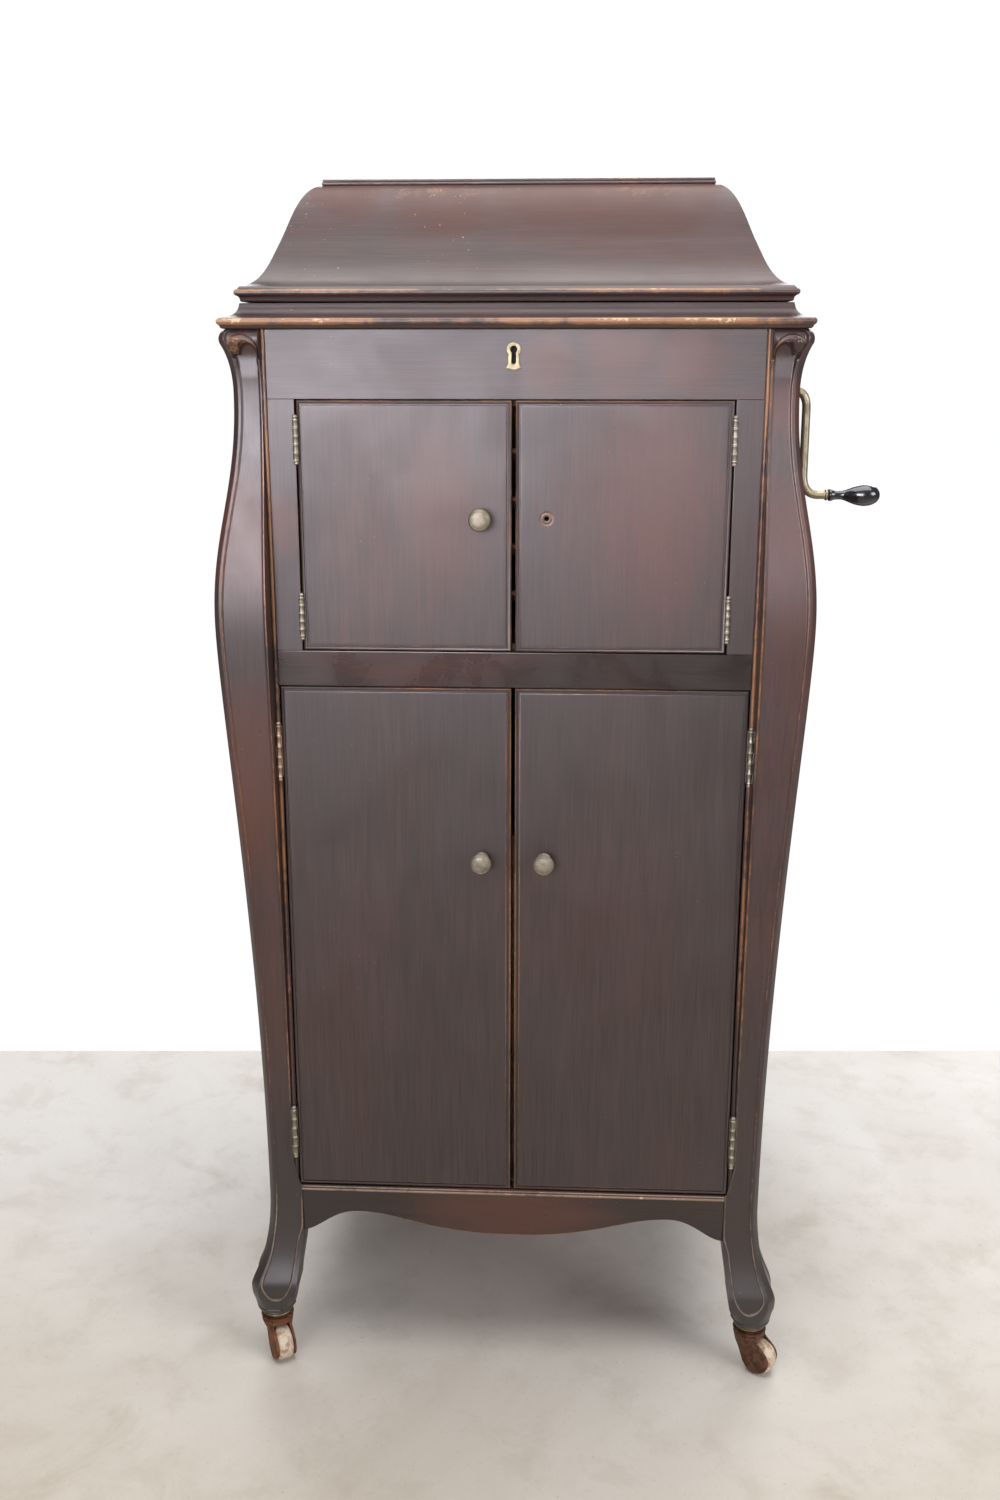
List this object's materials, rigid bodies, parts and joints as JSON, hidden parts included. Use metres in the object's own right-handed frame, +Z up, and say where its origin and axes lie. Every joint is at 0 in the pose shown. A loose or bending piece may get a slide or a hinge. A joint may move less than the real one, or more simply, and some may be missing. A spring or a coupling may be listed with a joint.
{
  "type": "gramophone cabinet",
  "caption": "Floor-standing wooden phonograph cabinet with bombe posts on casters, coved lid, paired doors, inner horn, spring motor, turntable, tonearm and side crank.",
  "frame": {"origin": "on the floor under the middle of the whole object, crank included", "axes": "+Z up, the doors face -Y, the crank is on +X"},
  "size_m": [0.6448, 0.5828, 1.1635],
  "materials": {
    "mahogany": "satin varnish, worn",
    "mahogany_door": "satin varnish, worn",
    "bead_wood": "satin varnish, worn edges",
    "back_wood": "thin stain",
    "inner_wood": "thin varnish",
    "aged_brass": "tarnished",
    "worn_nickel": "worn plate",
    "nickel": "aged nickel plate",
    "steel": "oiled",
    "cast_iron": "black japan",
    "rusty_iron": "rusted",
    "black_wood": "ebonised gloss",
    "felt": "napped felt",
    "pale_wood": "bare, worn"
  },
  "bodies": {
    "cabinet": {"post_front_left": "mahogany", "post_front_right": "mahogany", "post_rear_left": "mahogany", "post_rear_right": "mahogany", "bead_strips": "bead_wood", "side_panels": "mahogany", "back_panel": "back_wood", "face_frame": "mahogany", "front_apron": "mahogany", "side_aprons": "mahogany", "bottom_board": "inner_wood", "cornice": "mahogany", "lid_lock": "aged_brass", "crank_bushing": "aged_brass", "motor_board": "inner_wood", "horn": "inner_wood", "louvres": "inner_wood", "record_rack": "inner_wood", "hinge_frame_leaves": "aged_brass", "caster_sockets": "aged_brass", "needle_cups": "nickel", "tonearm_base": "cast_iron", "motor_frame": "cast_iron"},
    "lid": {"lid_shell": "mahogany", "lid_top_board": "mahogany", "lid_nosing": "mahogany", "lid_hinge_leaves": "aged_brass", "lid_stay": "aged_brass"},
    "upper_left_door": {"door_upper_left": "mahogany_door", "knob_upper_left": "aged_brass", "hinge_leaves_upper_left": "aged_brass"},
    "upper_right_door": {"door_upper_right": "mahogany_door", "hinge_leaves_upper_right": "aged_brass"},
    "lower_left_door": {"door_lower_left": "mahogany_door", "knob_lower_left": "aged_brass", "hinge_leaves_lower_left": "aged_brass"},
    "lower_right_door": {"door_lower_right": "mahogany_door", "knob_lower_right": "aged_brass", "hinge_leaves_lower_right": "aged_brass"},
    "winder": {"winding_shaft": "steel", "crank": "worn_nickel"},
    "grip": {"crank_handle": "black_wood"},
    "platter": {"turntable": "nickel", "turntable_felt": "felt", "turntable_spindle": "steel"},
    "barrel": {"spring_barrel": "steel"},
    "gear_two": {"second_wheel": "aged_brass"},
    "speed_governor": {"governor": "aged_brass"},
    "arm": {"tonearm": "nickel"},
    "reproducer": {"sound_box": "nickel"},
    "brake": {"brake_lever": "nickel"},
    "regulator": {"speed_regulator": "nickel"},
    "swivel_front_left": {"caster_fork_front_left": "rusty_iron"},
    "roller_front_left": {"caster_wheel_front_left": "pale_wood"},
    "swivel_front_right": {"caster_fork_front_right": "rusty_iron"},
    "roller_front_right": {"caster_wheel_front_right": "pale_wood"},
    "swivel_rear_left": {"caster_fork_rear_left": "rusty_iron"},
    "roller_rear_left": {"caster_wheel_rear_left": "pale_wood"},
    "swivel_rear_right": {"caster_fork_rear_right": "rusty_iron"},
    "roller_rear_right": {"caster_wheel_rear_right": "pale_wood"}
  },
  "joints": [
    {"name": "lid_hinge", "type": "hinge", "parent": "cabinet", "child": "lid", "pos_m": [-0.0531, 0.26961, 1.0565], "axis": [-1, 0, 0], "range_deg": [0, 70]},
    {"name": "upper_left_door_hinge", "type": "hinge", "parent": "cabinet", "child": "upper_left_door", "pos_m": [-0.2456, -0.26609, 0.86275], "axis": [0, 0, -1], "range_deg": [0, 110]},
    {"name": "upper_right_door_hinge", "type": "hinge", "parent": "cabinet", "child": "upper_right_door", "pos_m": [0.1394, -0.26609, 0.86275], "axis": [0, 0, 1], "range_deg": [0, 110]},
    {"name": "lower_left_door_hinge", "type": "hinge", "parent": "cabinet", "child": "lower_left_door", "pos_m": [-0.2715, -0.26609, 0.45775], "axis": [0, 0, -1], "range_deg": [0, 95]},
    {"name": "lower_right_door_hinge", "type": "hinge", "parent": "cabinet", "child": "lower_right_door", "pos_m": [0.1653, -0.26609, 0.45775], "axis": [0, 0, 1], "range_deg": [0, 95]},
    {"name": "crank_turn", "type": "hinge", "parent": "cabinet", "child": "winder", "pos_m": [0.1944, 0.00311, 0.978], "axis": [1, 0, 0], "continuous": true},
    {"name": "grip_spin", "type": "hinge", "parent": "winder", "child": "grip", "pos_m": [0.2684, 0.00311, 0.87], "axis": [1, 0, 0], "continuous": true},
    {"name": "turntable_spin", "type": "hinge", "parent": "cabinet", "child": "platter", "pos_m": [-0.0531, -0.04689, 1.041], "axis": [0, 0, 1], "continuous": true},
    {"name": "second_wheel_spin", "type": "hinge", "parent": "cabinet", "child": "gear_two", "pos_m": [-0.09616, -0.05465, 0.966], "axis": [0, 0, 1], "continuous": true},
    {"name": "barrel_spin", "type": "hinge", "parent": "cabinet", "child": "barrel", "pos_m": [-0.1281, 0.00311, 0.946], "axis": [0, 0, 1], "continuous": true},
    {"name": "governor_spin", "type": "hinge", "parent": "cabinet", "child": "speed_governor", "pos_m": [-0.0231, -0.06979, 0.948], "axis": [1, 0, 0], "continuous": true},
    {"name": "tonearm_swing", "type": "hinge", "parent": "cabinet", "child": "arm", "pos_m": [0.0269, 0.16311, 1.016], "axis": [0, 0, -1], "range_deg": [-4, 26]},
    {"name": "sound_box_lift", "type": "hinge", "parent": "arm", "child": "reproducer", "pos_m": [0.10973, -0.01453, 1.0775], "axis": [-0.4226, 0.9063, 0], "range_deg": [0, 90]},
    {"name": "brake_swing", "type": "hinge", "parent": "cabinet", "child": "brake", "pos_m": [-0.21299, -0.18686, 1.016], "axis": [0, 0, 1], "range_deg": [0, 25]},
    {"name": "regulator_turn", "type": "hinge", "parent": "cabinet", "child": "regulator", "pos_m": [0.0949, -0.20489, 1.016], "axis": [0, 0, 1], "range_deg": [-60, 60]},
    {"name": "swivel_turn_front_left", "type": "hinge", "parent": "cabinet", "child": "swivel_front_left", "pos_m": [-0.2986, -0.26139, 0.0465], "axis": [0, 0, 1], "continuous": true},
    {"name": "roller_spin_front_left", "type": "hinge", "parent": "swivel_front_left", "child": "roller_front_left", "pos_m": [-0.2923, -0.27276, 0.017], "axis": [0.8746, 0.4848, 0], "continuous": true},
    {"name": "swivel_turn_front_right", "type": "hinge", "parent": "cabinet", "child": "swivel_front_right", "pos_m": [0.1924, -0.26139, 0.0465], "axis": [0, 0, 1], "continuous": true},
    {"name": "roller_spin_front_right", "type": "hinge", "parent": "swivel_front_right", "child": "roller_front_right", "pos_m": [0.20285, -0.26913, 0.017], "axis": [0.5948, 0.8039, 0], "continuous": true},
    {"name": "swivel_turn_rear_left", "type": "hinge", "parent": "cabinet", "child": "swivel_rear_left", "pos_m": [-0.2986, 0.26761, 0.0465], "axis": [0, 0, 1], "continuous": true},
    {"name": "roller_spin_rear_left", "type": "hinge", "parent": "swivel_rear_left", "child": "roller_rear_left", "pos_m": [-0.29634, 0.25481, 0.017], "axis": [0.9848, 0.1736, 0], "continuous": true},
    {"name": "swivel_turn_rear_right", "type": "hinge", "parent": "cabinet", "child": "swivel_rear_right", "pos_m": [0.1924, 0.26761, 0.0465], "axis": [0, 0, 1], "continuous": true},
    {"name": "roller_spin_rear_right", "type": "hinge", "parent": "swivel_rear_right", "child": "roller_rear_right", "pos_m": [0.18753, 0.25555, 0.017], "axis": [0.9272, -0.3746, 0], "continuous": true}
  ],
  "couplings": [
    {"joint": "second_wheel_spin", "follows": "turntable_spin", "ratio": -0.25},
    {"joint": "barrel_spin", "follows": "turntable_spin", "ratio": 0.055556},
    {"joint": "governor_spin", "follows": "turntable_spin", "ratio": 9}
  ]
}
